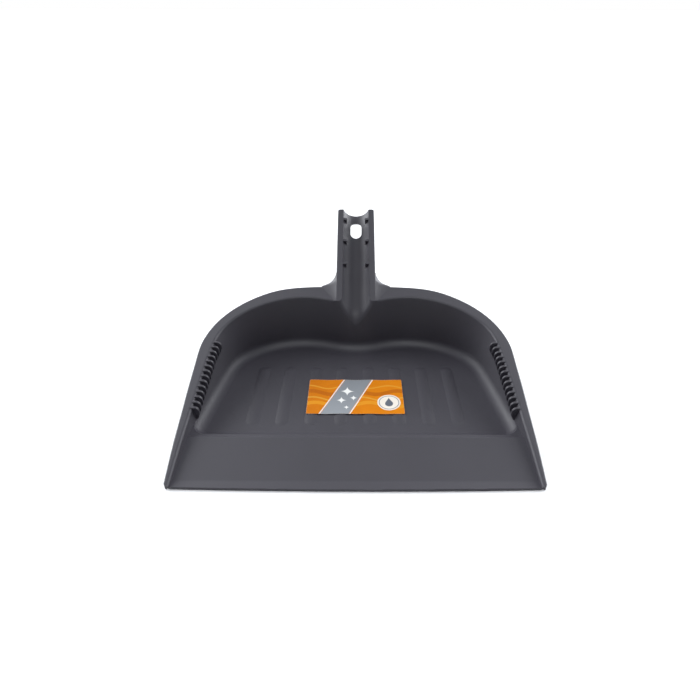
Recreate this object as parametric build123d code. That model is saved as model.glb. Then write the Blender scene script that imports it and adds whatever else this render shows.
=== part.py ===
from build123d import *
import math
import os

# One-piece moulded dust pan with a stuck-on label.
# Drawn with the lip edge at Y = 0, the handle towards +Y and the ground at Z = 0,
# then moved so that the middle of the footprint is the origin. All sizes in mm.

# ---- driving dimensions ----
wall_t = 2.5            # floor and wall thickness
floor_z = wall_t        # top of the tray floor
rim_z0 = 5.0            # height of the rim's top face at the lip
rim_rise = 0.24         # rise of the rim per mm towards the back (13.5 deg)
flange_t = 2.6          # thickness of the rim flange
skirt_t = 2.2           # thickness of the flange's turned-down edge
skirt_h = 6.5           # height of the turned-down edge
lip_bow = 2.1           # the lip's middle stands this far in front of its corners
lip_half = 158.9        # half width of the lip
ridge_y = 50.5          # middle of the ridge, from the lip
ridge_z = 10.0          # top of the ridge
tray_y0 = 54.0          # front wall of the recessed tray
tray_corner_r = 14.0    # plan radius of the tray's front corners
tray_fillet_r = 11.0    # wall to floor fillet
rib_x = (14.1, 42.4, 70.6, 98.9)   # floor ribs, each side
rib_w = 13.0
rib_h = 0.9
rib_y0, rib_y1 = 73.5, 165.5
rim_in_r = 2.6          # rounding of the rim's inner edge
comb_n = 14             # comb teeth on each side
comb_pitch = 6.15
comb_y0 = 76.0          # first tooth, from the lip
comb_t = 2.5
handle_slope = 0.489    # rise of the handle per mm (26 deg)
handle_tip_y = 341.3    # top corner of the handle's open end
handle_tip_z = 118.5
handle_hw = 22.6        # half width over the handle flanges
channel_hw = 15.6       # half width of the channel at the top
channel_d = 12.2        # depth of the channel
bend_r = 24.0           # the channel floor bends down into the back wall
bend_deg = 43.0
bend_lead = 11.5        # where the bend starts, before the wall
mouth_r = 5.0           # rounding where the channel opens into the back wall
handle_t = 2.7          # channel wall
handle_flange_t = 2.8
slot_w = 13.6           # hanging slot
slot_s0, slot_s1 = 11.4, 37.0      # its ends, measured along the handle from the tip
nub_s = (15.6, 49.9, 84.9)         # snap nubs, along the handle from the tip
nub_reach = 4.6
nub_len = 3.0
nub_drop = 7.5
label_w, label_h, label_t = 96.5, 53.0, 0.35
label_y = 115.25        # middle of the label, from the lip

# wall foot line at the tray floor (half, front to back middle)
foot = [(155.0, -12), (149.8, 60), (144.4, 98), (138.0, 142), (130.2, 172),
        (110.5, 194.3), (84, 206.5), (55, 210), (26, 205.2), (0, 200.5)]
# wall top line in the rim plane
crown = [(155.9, -12), (152.7, 60), (151.0, 100), (148.5, 145), (143.2, 172),
         (119.5, 201), (88, 217.8), (56, 223), (26, 217.6), (0, 213.5)]
front_lean = 0.15       # lean of the side walls at the lip
# outer edge of the rim flange in the rim plane
brim = [(158.0, -12), (159.3, 17), (160.1, 42), (160.4, 70), (160.8, 100), (160.8, 134), (160.4, 150.2),
        (156.1, 169.2), (149.4, 184.2), (136.4, 202.3), (113.2, 222.0), (87.4, 234.5), (66, 238.7),
        (40, 240.4), (0, 240.6)]
# gussets from the rim up the sides of the handle: y, outer half width, height of the outer edge above the rim plane
gusset = [(214.5, 23.6, 0.0), (222.0, 27.5, 0.0), (231.0, 33.5, 0.0), (238.5, 39.0, 0.0), (241.6, 38.2, 0.1),
          (244.2, 32.6, 0.5), (246.8, 28.0, 2.0), (249.4, 24.9, 4.6), (252.4, 23.2, 8.4)]


def rim_z(y):
    return rim_z0 + rim_rise * y


def offset_pts(pts, d):
    """move a half line outwards by d in plan"""
    out = []
    n = len(pts)
    for i, (x, y) in enumerate(pts):
        x0, y0 = pts[max(i - 1, 0)]
        x1, y1 = pts[min(i + 1, n - 1)]
        if i == n - 1:
            out.append((x, y + d))
            continue
        tx, ty = x1 - x0, y1 - y0
        length = math.hypot(tx, ty)
        out.append((x + d * ty / length, y - d * tx / length))
    return out


def closed_wire(pts, z_of):
    """half line mirrored in the YZ plane and closed along the front"""
    right = [(x, y, z_of(x, y)) for x, y in pts]
    left = [(-x, y, z) for x, y, z in reversed(right)]
    t0 = Vector(*right[1]) - Vector(*right[0])
    a = Edge.make_spline([Vector(*p) for p in right], tangents=[t0, Vector(-1, 0, 0)])
    b = a.mirror(Plane.YZ)
    c = Edge.make_line(Vector(*left[-1]), Vector(*right[0]))
    return Wire([a, b, c])


def at_height(z_of):
    """wall line where the wall crosses another surface z_of(y)"""
    res = []
    for i, ((fx, fy), (cx, cy)) in enumerate(zip(foot, crown)):
        if i == 0:
            lx, ly = front_lean, 0.0
        else:
            lx, ly = [d / (rim_z(cy) - floor_z) for d in (cx - fx, cy - fy)]
        h = 0.0
        for _ in range(40):
            h = z_of(fy + ly * h) - floor_z
        res.append((fx + lx * h, fy + ly * h))
    return res


def prism_yz(poly, half_x):
    """YZ polygon extruded to both sides of the middle plane"""
    face = make_face(Polyline([(0, y, z) for y, z in poly] + [(0, poly[0][0], poly[0][1])]))
    return extrude(face, amount=half_x, dir=(1, 0, 0), both=True)


# ---- wall lines ----
above = 40.0
crown_hi = at_height(lambda y: rim_z(y) + above)
foot_lo = at_height(lambda y: 0.0)
low_wire = closed_wire(foot, lambda x, y: floor_z)
high_wire = closed_wire(crown_hi, lambda x, y: rim_z(y) + above)
cavity = Solid.make_loft([low_wire, high_wire], ruled=True)
out_low = closed_wire(offset_pts(foot_lo, wall_t + 0.1), lambda x, y: 0.0)
out_high = closed_wire(offset_pts(crown_hi, wall_t + 0.1), lambda x, y: rim_z(y) + above)
outer = Solid.make_loft([out_low, out_high], ruled=True)


# ---- tray pocket and ramp ----
far = 400.0
tray_space = prism_yz([(tray_y0, floor_z - 5), (far, floor_z - 5), (far, 200), (tray_y0, 200)], 200)
tray = cavity & tray_space
if isinstance(tray, ShapeList):
    tray = tray[0]
corner_edges = [e for e in tray.edges()
                if abs(e.center().Y - tray_y0) < 2.5 and e.length > 30 and abs(e.center().X) > 140]
tray = tray.fillet(tray_corner_r, corner_edges)
foot_edges = [e for e in tray.edges() if abs(e.center().Z - floor_z) < 0.01]
tray = tray.fillet(tray_fillet_r, foot_edges)

low = prism_yz([(tray_y0 - 5, -5), (far, -5), (far, 16), (tray_y0 - 5, 16)], 200)
tray = tray & low
if isinstance(tray, ShapeList):
    tray = tray[0]
ramp_rise = 0.174       # slope of the ramp
crest_r = 4.0
ang = math.atan(ramp_rise)
cy0 = ridge_y
cz0 = ridge_z - crest_r
t_in = (cy0 - crest_r * math.sin(ang), cz0 + crest_r * math.cos(ang))
a_out = math.radians(38)
t_out = (cy0 + crest_r * math.sin(a_out), cz0 + crest_r * math.cos(a_out))
mid = (cy0 + crest_r * math.sin(math.radians(14)), cz0 + crest_r * math.cos(math.radians(14)))
y_front = -11.0
z_front = t_in[1] - ramp_rise * (t_in[0] - y_front)
profile = [Edge.make_line((0, y_front, z_front), (0, *t_in)),
           Edge.make_three_point_arc((0, *t_in), (0, *mid), (0, *t_out)),
           Edge.make_line((0, *t_out), (0, 76.0, t_out[1])),
           Edge.make_line((0, 76.0, t_out[1]), (0, 80.0, 12.0)),
           Edge.make_line((0, 80.0, 12.0), (0, far, 12.0)),
           Edge.make_line((0, far, 12.0), (0, far, 190)),
           Edge.make_line((0, far, 190), (0, y_front, 190)),
           Edge.make_line((0, y_front, 190), (0, y_front, z_front))]
ramp_space = extrude(make_face(Wire(profile)), amount=200, dir=(1, 0, 0), both=True)
ramp = cavity & ramp_space
if isinstance(ramp, ShapeList):
    ramp = ramp[0]


# ---- rim flange: a plate between the rim plane and a plane under it ----
slab_dir = Vector(0, -rim_rise, 1).normalized()


def rim_face(inset):
    """outline of the flange in the rim plane, pulled in by inset"""
    pts = brim if inset == 0 else offset_pts(brim, -inset)
    return Face(closed_wire(pts, lambda x, y: rim_z(y)))


flange = extrude(rim_face(0), amount=skirt_h, dir=-slab_dir)
inner_skirt = extrude(rim_face(skirt_t), amount=60, dir=-slab_dir).moved(
    Location(-slab_dir * flange_t))

# ---- outer body: walls up to the rim plane ----
below_rim = prism_yz([(-4, 0), (-4, rim_z(-4)), (far, rim_z(far)), (far, 0)], 250)
body = outer.fillet(5.0, [e for e in outer.edges() if abs(e.center().Z) < 0.01 and abs(e.center().Y + 12) > 1])
body = body & below_rim
if isinstance(body, ShapeList):
    body = body[0]
flange = (flange - inner_skirt)
ground = prism_yz([(-4, 0), (-4, 200), (far, 200), (far, 0)], 250)
flange = flange & ground
shell = body + flange
shell = shell - ramp - tray


# ---- hollow under the ramp ----
rz = lambda y: t_in[1] - ramp_rise * (t_in[0] - y)
under_poly = [(12.0, -1), (12.0, rz(12.0) - 2.6), (47.5, rz(47.5) - 2.6), (50.8, rz(47.5) - 2.6), (50.8, -1)]
under = prism_yz(under_poly, 147.0)
shell = shell - under

# ---- bowed lip with rounded corners ----
wide = 200.0
bow_r = (lip_half ** 2 + lip_bow ** 2) / (2 * lip_bow)
wide_y = bow_r - lip_bow - math.sqrt(bow_r ** 2 - wide ** 2)
front_face = Face(Wire([Edge.make_three_point_arc((-wide, wide_y, -1), (0, -lip_bow, -1), (wide, wide_y, -1)),
                        Edge.make_line((wide, wide_y, -1), (wide, -30, -1)),
                        Edge.make_line((wide, -30, -1), (-wide, -30, -1)),
                        Edge.make_line((-wide, -30, -1), (-wide, wide_y, -1))]))
shell = shell - extrude(front_face, amount=60, dir=(0, 0, 1))
lip_r = 2.2
x_lip = max(v.X for v in shell.vertices() if v.Y < 0.8)
for sx in (1, -1):
    cx, cyy = sx * (x_lip - lip_r), lip_r
    blank = Pos(sx * (x_lip - lip_r / 2 + 2.5), lip_r / 2 - 2.5, 0) * Box(lip_r + 5, lip_r + 5, 60)
    shell = shell - (blank - Pos(cx, cyy, 0) * Cylinder(lip_r, 80))

# ---- round the rim's inner edge ----
def on_rim(p, tol=0.05):
    return abs(p.Z - rim_z(p.Y)) < tol


def inner_rim(e):
    m = e @ 0.5
    return (on_rim(m) and on_rim(e @ 0.1) and on_rim(e @ 0.9) and abs((e @ 0).Y) + abs((e @ 1).Y) > 0.5
            and max((e @ 0).Y, (e @ 1).Y) < 232 and e.length > 100)


rim_edges = [e for e in shell.edges() if inner_rim(e)]
shell = shell.fillet(rim_in_r, rim_edges)
outer_edges = [e for e in shell.edges() if on_rim(e @ 0.5) and on_rim(e @ 0.1) and e.length > 100
               and max((e @ 0).Y, (e @ 1).Y) > 232]
shell = shell.fillet(1.1, outer_edges)

# ---- handle: open channel rising from the back wall ----
alpha = math.atan(handle_slope)
axis = Vector(0, math.cos(alpha), math.sin(alpha))
tip = Vector(0, handle_tip_y, handle_tip_z)
tip_plane = Plane(origin=tip, x_dir=(1, 0, 0), z_dir=-axis)
chan_r = (channel_hw ** 2 + channel_d ** 2) / (2 * channel_d)
chan_c = chan_r - channel_d          # arc centre above the flange line
up = 1 if tip_plane.y_dir.Z > 0 else -1


def arc_pts(r, base):
    """half width on the arc of radius r at height base"""
    return math.sqrt(r * r - (chan_c - base) ** 2)


r_out = chan_r + handle_t
fl = handle_flange_t
x_o = arc_pts(r_out, -fl)
handle_prof = [
    Edge.make_line((-handle_hw + 1, 0), (handle_hw - 1, 0)),
    Edge.make_three_point_arc((handle_hw - 1, 0), (handle_hw - 0.29, -0.29), (handle_hw, -1)),
    Edge.make_line((handle_hw, -1), (handle_hw, -fl)),
    Edge.make_line((handle_hw, -fl), (x_o, -fl)),
    Edge.make_three_point_arc((x_o, -fl), (0, chan_c - r_out), (-x_o, -fl)),
    Edge.make_line((-x_o, -fl), (-handle_hw, -fl)),
    Edge.make_line((-handle_hw, -fl), (-handle_hw, -1)),
    Edge.make_three_point_arc((-handle_hw, -1), (-handle_hw + 0.29, -0.29), (-handle_hw + 1, 0)),
]


def bar(edges, s0, s1):
    f = Face(Wire(edges))
    solid = extrude(f, amount=(s1 - s0), dir=(0, 0, 1))
    # local z runs towards the pan
    return Location(Plane(origin=tip - axis * s0, x_dir=(1, 0, 0), z_dir=-axis)) * solid


def flip(edges):
    """profiles are drawn with y up; the section plane's y may point down"""
    if up > 0:
        return edges
    return [e.mirror(Plane.XZ) for e in edges]


handle = bar(flip(handle_prof), 0, 152)
body2 = shell + handle


def handle_z(y):
    return handle_tip_z + handle_slope * (y - handle_tip_y)


def gusset_section(y, x_out, lift, side):
    """concave slope from the rim's top face up to the handle's flange"""
    x_in = handle_hw - 2.5
    zt, zb = handle_z(y) - 0.15, rim_z(y) + lift
    xs = handle_hw - 0.4
    zm = zb + (zt - zb) * 0.42
    xm = xs + (x_out - xs) * 0.44
    low = zb - 2.2
    p = [(x_in, zt), (xs, zt), (x_out, zb), (x_out, low), (x_in, low)]
    v = [Vector(side * px, y, pz) for px, pz in p]
    mid = Vector(side * xm, y, zm)
    return Wire([Edge.make_line(v[0], v[1]), Edge.make_three_point_arc(v[1], mid, v[2]),
                 Edge.make_line(v[2], v[3]), Edge.make_line(v[3], v[4]), Edge.make_line(v[4], v[0])])


for side in (1, -1):
    for part in (gusset[:4], gusset[3:]):
        body2 = body2 + Solid.make_loft([gusset_section(y, x, h, side) for y, x, h in part])

# ---- the channel's hollow: straight, then bending down over the pan's back wall ----
n_dir = Vector(0, -math.sin(alpha), math.cos(alpha))
floor_top = tip - n_dir * channel_d          # channel floor at the open end
wall_foot = Vector(0, foot[-1][1], floor_z)
wall_dir = (Vector(0, crown[-1][1], rim_z(crown[-1][1])) - wall_foot).normalized()
gap = wall_foot - floor_top
to_wall = (gap.Y * wall_dir.Z - wall_dir.Y * gap.Z) / (wall_dir.Y * axis.Z - wall_dir.Z * axis.Y)
straight = to_wall - bend_lead


def channel_face(origin, up_dir, top=75):
    """section of the hollow; origin is the middle of its opening"""
    pl = Plane(origin=origin, x_dir=(1, 0, 0), z_dir=Vector(1, 0, 0).cross(up_dir))
    return pl.location * Face(Wire([
        Edge.make_three_point_arc((chan_r, chan_c), (0, chan_c - chan_r), (-chan_r, chan_c)),
        Edge.make_line((-chan_r, chan_c), (-chan_r, top)), Edge.make_line((-chan_r, top), (chan_r, top)),
        Edge.make_line((chan_r, top), (chan_r, chan_c))]))


run = extrude(channel_face(tip + axis * 6, n_dir), amount=straight + 6, dir=-axis)
bend_mid = tip - axis * straight - n_dir * (channel_d + bend_r)
bend = revolve(channel_face(tip - axis * straight, n_dir), axis=Axis(bend_mid, (1, 0, 0)), revolution_arc=bend_deg)
n_end = n_dir.rotate(Axis((0, 0, 0), (1, 0, 0)), bend_deg)
a_end = axis.rotate(Axis((0, 0, 0), (1, 0, 0)), bend_deg)
spout = extrude(channel_face(bend_mid + n_end * (bend_r + channel_d), n_end), amount=16, dir=-a_end)
under_top = prism_yz([(-60, -50), (-60, rim_z(-60) + above), (far, rim_z(far) + above), (far, -50)], 250)
hollow = ramp.fuse(run, bend, spout) & under_top
hollow = hollow.solids().sort_by(SortBy.VOLUME)[-1]
mouth_edges = [e for e in hollow.edges() if abs((e @ 0.5).X) < 19 and 195 < (e @ 0.5).Y < 232 and e.length > 1
               and 20 < (e @ 0.5).Z < 110 and not (abs((e @ 0.5).X) < 15 and (e @ 0.5).Z > 60)
               and e.geom_type != GeomType.CIRCLE]
hollow = hollow.fillet(mouth_r, mouth_edges)
body2 = body2 - hollow - tray

# rounded ears at the handle's open end
for sx in (1, -1):
    ear = bar([Edge.make_line((sx * 19.6, 2), (sx * 24, 2)), Edge.make_line((sx * 24, 2), (sx * 24, -12)),
               Edge.make_line((sx * 24, -12), (sx * 19.6, -12)), Edge.make_line((sx * 19.6, -12), (sx * 19.6, 2))], -1, 3.0)
    c0 = tip - axis * 3.0
    post = Plane(origin=c0 + Vector(sx * 19.6, 0, 0) - n_dir * 20, x_dir=(1, 0, 0), z_dir=n_dir)
    cyl = Location(post) * Cylinder(3.0, 60)
    body2 = body2 - (ear - cyl)

# ---- hanging slot ----
slot_mid = tip - axis * ((slot_s0 + slot_s1) / 2) - n_dir * (channel_d + 2)
slot_plane = Plane(origin=slot_mid - n_dir * 8, x_dir=(1, 0, 0), z_dir=n_dir)
slot_tool = extrude(slot_plane * RectangleRounded(slot_w, slot_s1 - slot_s0, 6.4), amount=18, dir=n_dir)
body2 = body2 - slot_tool

# ---- snap nubs in the channel ----
extra = []
for s_mid in nub_s:
    for sx in (1, -1):
        top_x = math.sqrt(chan_r ** 2 - (chan_c + 0.4) ** 2)
        p = [(sx * (top_x + 0.8), -0.4), (sx * (channel_hw - nub_reach), -0.4), (sx * (channel_hw - nub_reach), -1.4),
             (sx * (math.sqrt(chan_r ** 2 - (chan_c + nub_drop) ** 2) + 0.0), -nub_drop),
             (sx * (math.sqrt(chan_r ** 2 - (chan_c + nub_drop) ** 2) + 0.9), -nub_drop - 0.2)]
        edges = [Edge.make_line(p[k], p[(k + 1) % len(p)]) for k in range(len(p))]
        extra.append(bar(edges, s_mid - nub_len / 2, s_mid + nub_len / 2))

# ---- floor ribs: low rounded swells with ball ends ----
rib_r = ((rib_w / 2) ** 2 + rib_h ** 2) / (2 * rib_h)
rib_a, rib_b = rib_y0 + rib_w / 2, rib_y1 - rib_w / 2
for x in rib_x:
    for sx in (1, -1):
        low_z = floor_z - 0.6
        x0 = sx * x
        top_e = Edge.make_three_point_arc((x0 - rib_w / 2, rib_a, floor_z), (x0, rib_a, floor_z + rib_h),
                                          (x0 + rib_w / 2, rib_a, floor_z))
        face = Face(Wire([top_e, Edge.make_line((x0 + rib_w / 2, rib_a, floor_z), (x0 + rib_w / 2, rib_a, low_z)),
                          Edge.make_line((x0 + rib_w / 2, rib_a, low_z), (x0 - rib_w / 2, rib_a, low_z)),
                          Edge.make_line((x0 - rib_w / 2, rib_a, low_z), (x0 - rib_w / 2, rib_a, floor_z))]))
        rib = extrude(face, amount=rib_b - rib_a, dir=(0, 1, 0))
        for yb in (rib_a, rib_b):
            half = make_face(Wire([Edge.make_three_point_arc(
                (x0, yb, floor_z + rib_h), (x0 + rib_r * math.sin(0.5 * math.asin(rib_w / 2 / rib_r)), yb,
                                            floor_z + rib_h - rib_r * (1 - math.cos(0.5 * math.asin(rib_w / 2 / rib_r)))),
                (x0 + rib_w / 2, yb, floor_z)),
                Edge.make_line((x0 + rib_w / 2, yb, floor_z), (x0 + rib_w / 2, yb, low_z)),
                Edge.make_line((x0 + rib_w / 2, yb, low_z), (x0, yb, low_z)),
                Edge.make_line((x0, yb, low_z), (x0, yb, floor_z + rib_h))]))
            cap = revolve(half, axis=Axis((x0, yb, 0), (0, 0, 1)), revolution_arc=360)
            rib = rib + cap
        extra.append(rib)

# ---- comb teeth on the side walls ----
def crown_x(y):
    for (x0, y0), (x1, y1) in zip(crown, crown[1:]):
        if y0 <= y <= y1:
            return x0 + (x1 - x0) * (y - y0) / (y1 - y0)
    return crown[-1][0]


teeth = []
for k in range(comb_n):
    y = comb_y0 + k * comb_pitch
    for sx in (1, -1):
        x0, z0 = crown_x(y), rim_z(y - comb_t / 2)

        def q(a, b):
            return Vector(sx * (x0 - a), y - comb_t / 2, z0 - b)

        edges = [Edge.make_line(q(-1.2, 0.0), q(1.6, 0.0)),
                 Edge.make_three_point_arc(q(1.6, 0.0), q(1.6 + 4.7 * math.sin(math.pi / 4),
                                                                4.7 - 4.7 * math.cos(math.pi / 4)), q(6.3, 4.7)),
                 Edge.make_line(q(6.3, 4.7), q(6.3, 8.0)),
                 Edge.make_line(q(6.3, 8.0), q(3.6, 13.6)),
                 Edge.make_line(q(3.6, 13.6), q(1.9, 13.6)),
                 Edge.make_line(q(1.9, 13.6), q(-1.2, 0.0))]
        tooth = extrude(Face(Wire(edges)), amount=comb_t, dir=(0, 1, rim_rise))
        soft = []
        for e in tooth.edges():
            m = e @ 0.5
            if abs((e @ 0).Y - (e @ 1).Y) < 0.01:
                a_in, down = x0 - abs(m.X), z0 + rim_rise * (m.Y - y + comb_t / 2) - m.Z
                if e.geom_type == GeomType.CIRCLE or (down < 0.1 and a_in > -1.1) or (a_in > 6.2 and down < 7.9):
                    soft.append(e)
        tooth = tooth.fillet(0.6, soft)
        extra.append(tooth)

pan = body2.fuse(*[(x if isinstance(x, Solid) else x.solids()[0]) for x in extra])
if not isinstance(pan, Solid):
    pan = pan.solids().sort_by(SortBy.VOLUME)[-1]

# ---- lip edge ----
lip_edges = [e for e in pan.edges() if (e @ 0.5).Y < 0.01 and e.length > 200 and (e @ 0.5).Z > 0.5]
pan = pan.fillet(0.6, lip_edges)

# ---- label ----
label = Pos(0, label_y, floor_z + rib_h + label_t / 2) * Box(label_w, label_h, label_t)

# ---- put the middle of the footprint at the origin ----
bb = pan.bounding_box()
shift = Vector(0, -(bb.min.Y + bb.max.Y) / 2, -bb.min.Z)
pan = pan.moved(Location(shift))
label = label.moved(Location(shift))
bb = pan.bounding_box()
print("size", bb.size, "min", bb.min, "shift", shift)
print("valid", pan.is_valid, "volume", round(pan.volume))

os.makedirs("parts", exist_ok=True)
export_step(pan, "parts/pan.step")
export_step(label, "parts/label.step")
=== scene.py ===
import bpy, bmesh, math
from mathutils import Matrix, Vector


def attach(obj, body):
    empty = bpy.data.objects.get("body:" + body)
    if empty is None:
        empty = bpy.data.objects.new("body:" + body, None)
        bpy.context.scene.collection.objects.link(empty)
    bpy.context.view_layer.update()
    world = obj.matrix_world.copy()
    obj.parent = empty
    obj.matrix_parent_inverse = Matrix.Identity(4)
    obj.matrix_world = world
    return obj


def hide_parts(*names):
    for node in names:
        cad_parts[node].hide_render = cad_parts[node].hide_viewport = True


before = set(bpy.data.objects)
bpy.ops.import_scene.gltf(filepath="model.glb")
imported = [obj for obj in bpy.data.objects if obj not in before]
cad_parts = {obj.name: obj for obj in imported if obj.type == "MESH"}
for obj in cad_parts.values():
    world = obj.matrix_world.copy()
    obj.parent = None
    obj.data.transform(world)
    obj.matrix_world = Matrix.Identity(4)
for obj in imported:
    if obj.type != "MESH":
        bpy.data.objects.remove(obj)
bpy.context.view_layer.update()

scene = bpy.context.scene
CAM_ROLL = 0.15      # degrees

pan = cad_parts["pan"]
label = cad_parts["label"]


# ---------------------------------------------------------------- node helpers
class Graph:
    """small helper around a node tree"""

    def __init__(self, tree):
        self.t = tree
        self.n = tree.nodes
        self.l = tree.links

    def new(self, kind, **props):
        node = self.n.new(kind)
        for k, v in props.items():
            setattr(node, k, v)
        return node

    def put(self, socket, value):
        if isinstance(value, bpy.types.NodeSocket):
            self.l.new(value, socket)
        elif value is not None:
            socket.default_value = value

    def math(self, op, a, b=None, c=None, clamp=False):
        node = self.new("ShaderNodeMath", operation=op, use_clamp=clamp)
        for i, v in enumerate((a, b, c)):
            self.put(node.inputs[i], v)
        return node.outputs[0]

    def mix(self, factor, a, b):
        node = self.new("ShaderNodeMix", data_type="RGBA", clamp_factor=True)
        self.put(node.inputs["Factor"], factor)
        self.put(node.inputs[6], a)
        self.put(node.inputs[7], b)
        return node.outputs[2]

    def remap(self, value, a, b, c, d, smooth=False):
        node = self.new("ShaderNodeMapRange", clamp=True)
        if smooth:
            node.interpolation_type = "SMOOTHSTEP"
        for i, v in enumerate((value, a, b, c, d)):
            self.put(node.inputs[i], v)
        return node.outputs[0]

    def noise(self, vector, scale, detail=2.0, rough=0.5, distortion=0.0):
        node = self.new("ShaderNodeTexNoise")
        self.put(node.inputs["Vector"], vector)
        node.inputs["Scale"].default_value = scale
        node.inputs["Detail"].default_value = detail
        node.inputs["Roughness"].default_value = rough
        node.inputs["Distortion"].default_value = distortion
        return node.outputs["Fac"]

    def bump(self, height, strength, distance, normal=None):
        node = self.new("ShaderNodeBump")
        node.inputs["Strength"].default_value = strength
        node.inputs["Distance"].default_value = distance
        self.put(node.inputs["Height"], height)
        if normal is not None:
            self.put(node.inputs["Normal"], normal)
        return node.outputs[0]


def material(name):
    m = bpy.data.materials.new(name)
    m.use_nodes = True
    g = Graph(m.node_tree)
    g.n.clear()
    out = g.new("ShaderNodeOutputMaterial")
    bsdf = g.new("ShaderNodeBsdfPrincipled")
    g.l.new(bsdf.outputs[0], out.inputs[0])
    return m, g, bsdf


# ---------------------------------------------------------------- moulded polypropylene
def make_plastic():
    m, g, b = material("moulded_plastic")
    pos = g.new("ShaderNodeTexCoord").outputs["Object"]
    broad = g.noise(pos, 14.0, 3.0, 0.55)
    cloud = g.noise(pos, 60.0, 4.0, 0.6)
    grain = g.noise(pos, 2600.0, 2.0, 0.55)
    tone = g.math("ADD", g.math("MULTIPLY", broad, 0.6), g.math("MULTIPLY", cloud, 0.4))
    col = g.mix(g.remap(tone, 0.35, 0.65, 0.0, 1.0), (0.0196, 0.0180, 0.0258, 1), (0.0226, 0.0206, 0.0292, 1))
    g.put(b.inputs["Base Color"], col)
    rough = g.remap(tone, 0.3, 0.7, 0.55, 0.63)
    g.put(b.inputs["Roughness"], rough)
    b.inputs["IOR"].default_value = 1.49
    b.inputs["Specular IOR Level"].default_value = 0.7
    n = g.bump(grain, 0.35, 0.00006)
    g.put(b.inputs["Normal"], n)
    return m


# ---------------------------------------------------------------- label: a printed film that bridges the floor ribs
LAB_W, LAB_H, LAB_R = 0.0965, 0.053, 0.0012
LAB_Y = -0.057623
LAB_TOP = 0.00372
RIBS = (-0.0424, -0.0141, 0.0141, 0.0424)


def label_sheet():
    """thin sheet with rounded corners, resting on the ribs and sagging a little between them"""
    def stops(size):
        half = size / 2
        n_mid = max(4, int(round((size - 2 * LAB_R) / 0.0011)))
        corner = [LAB_R * i / 5 for i in range(5)]
        mid_part = [LAB_R + (size - 2 * LAB_R) * i / n_mid for i in range(n_mid + 1)]
        tail = [size - c for c in reversed(corner)]
        return [v - half for v in corner + mid_part + tail]

    def lay(x, y):
        gap = min(abs(x - r) for r in RIBS)
        t = min(1.0, gap / 0.01415)
        sag = 0.00042 * t * t * (3 - 2 * t)
        edge = max(0.0, (abs(x) - 0.0424) / 0.006)
        ripple = 0.00005 * math.sin(y * 190.0 + x * 60.0) * (0.4 + 0.6 * t)
        return LAB_TOP - sag * (1.0 if abs(x) < 0.0424 else 0.35 * min(1.0, edge)) + ripple

    xs, ys = stops(LAB_W), stops(LAB_H)
    bm = bmesh.new()
    top, low = [], []
    for y in ys:
        row_t, row_l = [], []
        for x in xs:
            px, py = x, y
            dx, dy = abs(x) - (LAB_W / 2 - LAB_R), abs(y) - (LAB_H / 2 - LAB_R)
            if dx > 0 and dy > 0:
                k = max(dx, dy) / math.hypot(dx, dy)
                px = math.copysign(LAB_W / 2 - LAB_R + dx * k, x)
                py = math.copysign(LAB_H / 2 - LAB_R + dy * k, y)
            z = lay(px, py)
            row_t.append(bm.verts.new((px, py + LAB_Y, z)))
            row_l.append(bm.verts.new((px, py + LAB_Y, z - 0.00014)))
        top.append(row_t)
        low.append(row_l)
    ny, nx = len(ys), len(xs)
    for j in range(ny - 1):
        for i in range(nx - 1):
            bm.faces.new((top[j][i], top[j][i + 1], top[j + 1][i + 1], top[j + 1][i]))
            bm.faces.new((low[j][i], low[j + 1][i], low[j + 1][i + 1], low[j][i + 1]))
    ring = [(0, i) for i in range(nx)] + [(j, nx - 1) for j in range(1, ny)] + \
           [(ny - 1, i) for i in range(nx - 2, -1, -1)] + [(j, 0) for j in range(ny - 2, 0, -1)]
    for (j0, i0), (j1, i1) in zip(ring, ring[1:] + ring[:1]):
        bm.faces.new((low[j0][i0], low[j1][i1], top[j1][i1], top[j0][i0]))
    for f in bm.faces:
        f.smooth = True
    me = bpy.data.meshes.new("label_film")
    bm.to_mesh(me)
    bm.free()
    ob = bpy.data.objects.new("label_film", me)
    scene.collection.objects.link(ob)
    return ob


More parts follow.
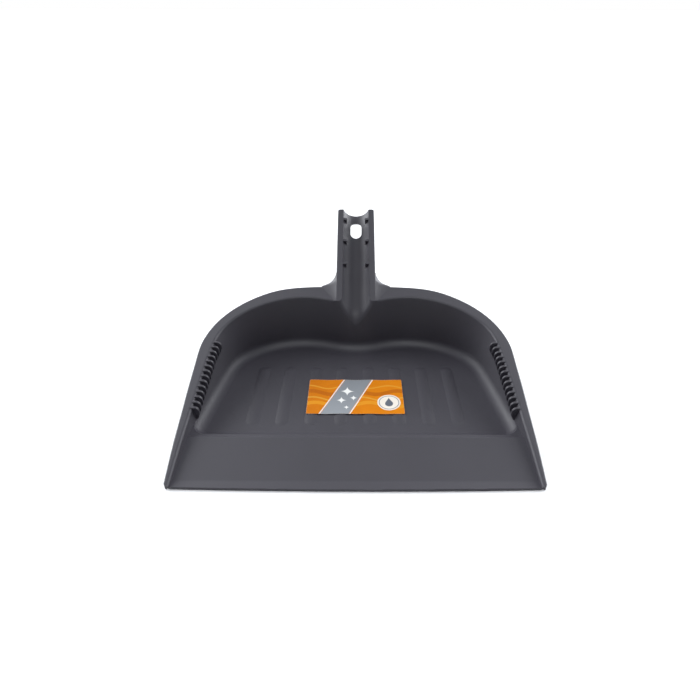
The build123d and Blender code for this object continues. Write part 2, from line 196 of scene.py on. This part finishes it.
def make_label():
    """printed film: an orange field with a slanted grey sash, sparkles, a white roundel and soft waves"""
    m, g, b = material("label_print")
    pos = g.new("ShaderNodeTexCoord").outputs["Object"]
    sep = g.new("ShaderNodeSeparateXYZ")
    g.put(sep.inputs[0], pos)
    x = g.math("MULTIPLY", sep.outputs[0], 1000.0)
    y = g.math("MULTIPLY", g.math("SUBTRACT", sep.outputs[1], LAB_Y), 1000.0)

    def inside(d, soft=0.12):
        """1 where the distance d (mm) is negative"""
        return g.remap(d, -soft, soft, 1.0, 0.0)

    def band(v, centre, half, soft=0.12):
        return inside(g.math("SUBTRACT", g.math("ABSOLUTE", g.math("SUBTRACT", v, centre)), half), soft)

    def length(a, c):
        return g.math("SQRT", g.math("ADD", g.math("MULTIPLY", a, a), g.math("MULTIPLY", c, c)))

    def star(cx, cy, r):
        """four-pointed sparkle"""
        ax = g.math("DIVIDE", g.math("ABSOLUTE", g.math("SUBTRACT", x, cx)), r)
        ay = g.math("DIVIDE", g.math("ABSOLUTE", g.math("SUBTRACT", y, cy)), r)
        s = g.math("ADD", g.math("POWER", ax, 0.55), g.math("POWER", ay, 0.55))
        return g.remap(s, 0.94, 1.06, 1.0, 0.0)

    # orange field, deeper towards the left, with a fine print screen
    tone = g.math("ADD", g.math("MULTIPLY", g.noise(pos, 90.0, 2.0, 0.5), 0.5),
                  g.math("MULTIPLY", g.remap(x, -48.0, 48.0, 0.0, 1.0), 0.5))
    col = g.mix(g.remap(tone, 0.2, 0.8, 0.0, 1.0), (0.480, 0.138, 0.0012, 1), (0.570, 0.178, 0.0012, 1))
    # waves of a lighter and a deeper orange on the right
    for k, (off, amp, half, c, strength) in enumerate((
            (-13.0, 3.2, 2.6, (0.59, 0.240, 0.012, 1), 0.85), (-4.5, 3.0, 1.1, (0.58, 0.285, 0.034, 1), 0.8),
            (5.5, 2.6, 2.9, (0.365, 0.090, 0.0012, 1), 0.75), (14.5, 2.4, 1.0, (0.59, 0.265, 0.025, 1), 0.8))):
        wave = g.math("MULTIPLY", g.math("SINE", g.math("ADD", g.math("MULTIPLY", x, 0.118 + 0.012 * k), 0.9 * k)), amp)
        on = g.math("MULTIPLY", band(g.math("SUBTRACT", y, wave), off, half), strength)
        col = g.mix(on, col, c)
    # slanted sash with two pinstripes
    u = g.math("ADD", g.math("MULTIPLY", x, 0.914), g.math("MULTIPLY", y, -0.406))
    sash = band(u, -8.0, 12.6)
    grey = g.mix(g.remap(y, -26.0, 26.0, 0.0, 1.0), (0.235, 0.252, 0.270, 1), (0.180, 0.195, 0.210, 1))
    col = g.mix(sash, col, grey)
    for c in (-21.6, 5.6):
        col = g.mix(band(u, c, 0.55), col, (0.66, 0.65, 0.62, 1))
    for cx, cy, r in ((-8.5, 7.5, 7.4), (-2.0, -2.5, 4.2), (-14.2, -6.5, 5.4), (-9.0, -17.0, 3.2)):
        col = g.mix(star(cx, cy, r), col, (0.70, 0.70, 0.68, 1))
    # white roundel with a drop in it
    rx, ry = 33.5, -9.5
    d = length(g.math("SUBTRACT", x, rx), g.math("SUBTRACT", y, ry))
    col = g.mix(inside(g.math("SUBTRACT", d, 11.6)), col, (0.68, 0.635, 0.56, 1))
    col = g.mix(band(d, 9.8, 0.45), col, (0.22, 0.23, 0.25, 1))
    bulb = inside(g.math("SUBTRACT", length(g.math("SUBTRACT", x, rx), g.math("SUBTRACT", y, ry - 1.8)), 4.0))
    cone_h = g.math("SUBTRACT", y, ry - 0.2)
    cone = g.math("SUBTRACT", g.math("ABSOLUTE", g.math("SUBTRACT", x, rx)),
                  g.math("SUBTRACT", 3.75, g.math("MULTIPLY", cone_h, 0.54)))
    tipped = g.math("MULTIPLY", inside(cone), g.remap(cone_h, -0.6, -0.4, 0.0, 1.0))
    col = g.mix(g.math("MAXIMUM", bulb, tipped), col, (0.10, 0.115, 0.14, 1))
    # unprinted paper at the cut edge, and a little handling wear
    ex = g.math("SUBTRACT", 48.25, g.math("ABSOLUTE", x))
    ey = g.math("SUBTRACT", 26.5, g.math("ABSOLUTE", y))
    rim = g.remap(g.math("MINIMUM", ex, ey), 0.08, 0.3, 1.0, 0.0)
    worn = g.math("MULTIPLY", rim, g.remap(g.noise(pos, 700.0, 2.0, 0.5), 0.45, 0.6, 0.25, 0.8))
    col = g.mix(worn, col, (0.52, 0.42, 0.32, 1))
    g.put(b.inputs["Base Color"], col)
    g.put(b.inputs["Roughness"], g.remap(g.noise(pos, 260.0, 3.0, 0.55), 0.3, 0.7, 0.36, 0.48))
    b.inputs["IOR"].default_value = 1.5
    b.inputs["Specular IOR Level"].default_value = 0.15
    n = g.bump(g.noise(pos, 1500.0, 2.0, 0.5), 0.12, 0.00003)
    g.put(b.inputs["Normal"], n)
    return m


pan.data.materials.clear()
pan.data.materials.append(make_plastic())
label_mat = make_label()
label.data.materials.clear()
label.data.materials.append(label_mat)
film = label_sheet()
film.data.materials.append(label_mat)
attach(film, "root")
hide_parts("label")


# ---------------------------------------------------------------- floor
fm = bpy.data.meshes.new("floor")
fm.from_pydata([(-40, -40, 0), (40, -40, 0), (40, 40, 0), (-40, 40, 0)], [], [(0, 1, 2, 3)])
floor = bpy.data.objects.new("floor", fm)
scene.collection.objects.link(floor)
floor.location.z = -0.0002
m, g, b = material("floor_paper")
b.inputs["Base Color"].default_value = (0.90, 0.90, 0.90, 1)
b.inputs["Roughness"].default_value = 0.9
b.inputs["Specular IOR Level"].default_value = 0.1
fm.materials.append(m)


# ---------------------------------------------------------------- light
# soft studio light from all around: each lamp is (azimuth, elevation, half angle, strength);
# azimuth 0 is behind the pan and 90 is on its right
LAMPS = [(35, 6, 24, 12.85), (325, 6, 24, 5.57), (35, 26, 24, 0.43), (65, 26, 24, 7.81), (265, 26, 24, 0.23),
         (295, 26, 24, 10.42), (325, 26, 24, 2.01), (0, 62, 26, 1.24), (180, 62, 26, 5.09)]
world = bpy.data.worlds.new("studio")
scene.world = world
world.use_nodes = True
wg = Graph(world.node_tree)
wg.n.clear()
wout = wg.new("ShaderNodeOutputWorld")
direction = wg.new("ShaderNodeTexCoord").outputs["Generated"]
sky = None
for az, el, half, strength in LAMPS:
    a, e = math.radians(az), math.radians(el)
    dot = wg.new("ShaderNodeVectorMath", operation="DOT_PRODUCT")
    wg.put(dot.inputs[0], direction)
    dot.inputs[1].default_value = (math.cos(e) * math.sin(a), math.cos(e) * math.cos(a), math.sin(e))
    lobe = wg.remap(dot.outputs["Value"], math.cos(math.radians(half)), math.cos(math.radians(half * 0.35)),
                    0.0, strength, smooth=True)
    sky = lobe if sky is None else wg.math("ADD", sky, lobe)
light_sky = wg.new("ShaderNodeBackground")
light_sky.inputs[0].default_value = (0.975, 0.995, 1.035, 1)
wg.put(light_sky.inputs[1], sky)
white = wg.new("ShaderNodeBackground")
white.inputs[0].default_value = (1, 1, 1, 1)
white.inputs[1].default_value = 1.0
pick = wg.new("ShaderNodeMixShader")
wg.put(pick.inputs[0], wg.new("ShaderNodeLightPath").outputs["Is Camera Ray"])
wg.l.new(light_sky.outputs[0], pick.inputs[1])
wg.l.new(white.outputs[0], pick.inputs[2])
wg.l.new(pick.outputs[0], wout.inputs[0])

scene.view_settings.view_transform = "Standard"
scene.view_settings.look = "None"

# ---------------------------------------------------------------- camera
cd = bpy.data.cameras.new("camera")
cam = bpy.data.objects.new("camera", cd)
scene.collection.objects.link(cam)
cd.sensor_fit = "HORIZONTAL"
cd.sensor_width = 36.0
cd.lens = 493.0 / 700.0 * 36.0
cd.shift_x = -5.65 / 700.0
cd.shift_y = 0.2 / 700.0
cd.clip_start = 0.01
cd.clip_end = 50.0
cam.location = (0.0, -0.441373, 0.3292)
cam.rotation_mode = "XYZ"
cam.rotation_euler = (math.radians(55.0), 0.0, 0.0)
cam.rotation_euler = (cam.rotation_euler.to_matrix() @ Matrix.Rotation(math.radians(CAM_ROLL), 3, "Z")).to_euler()
scene.camera = cam
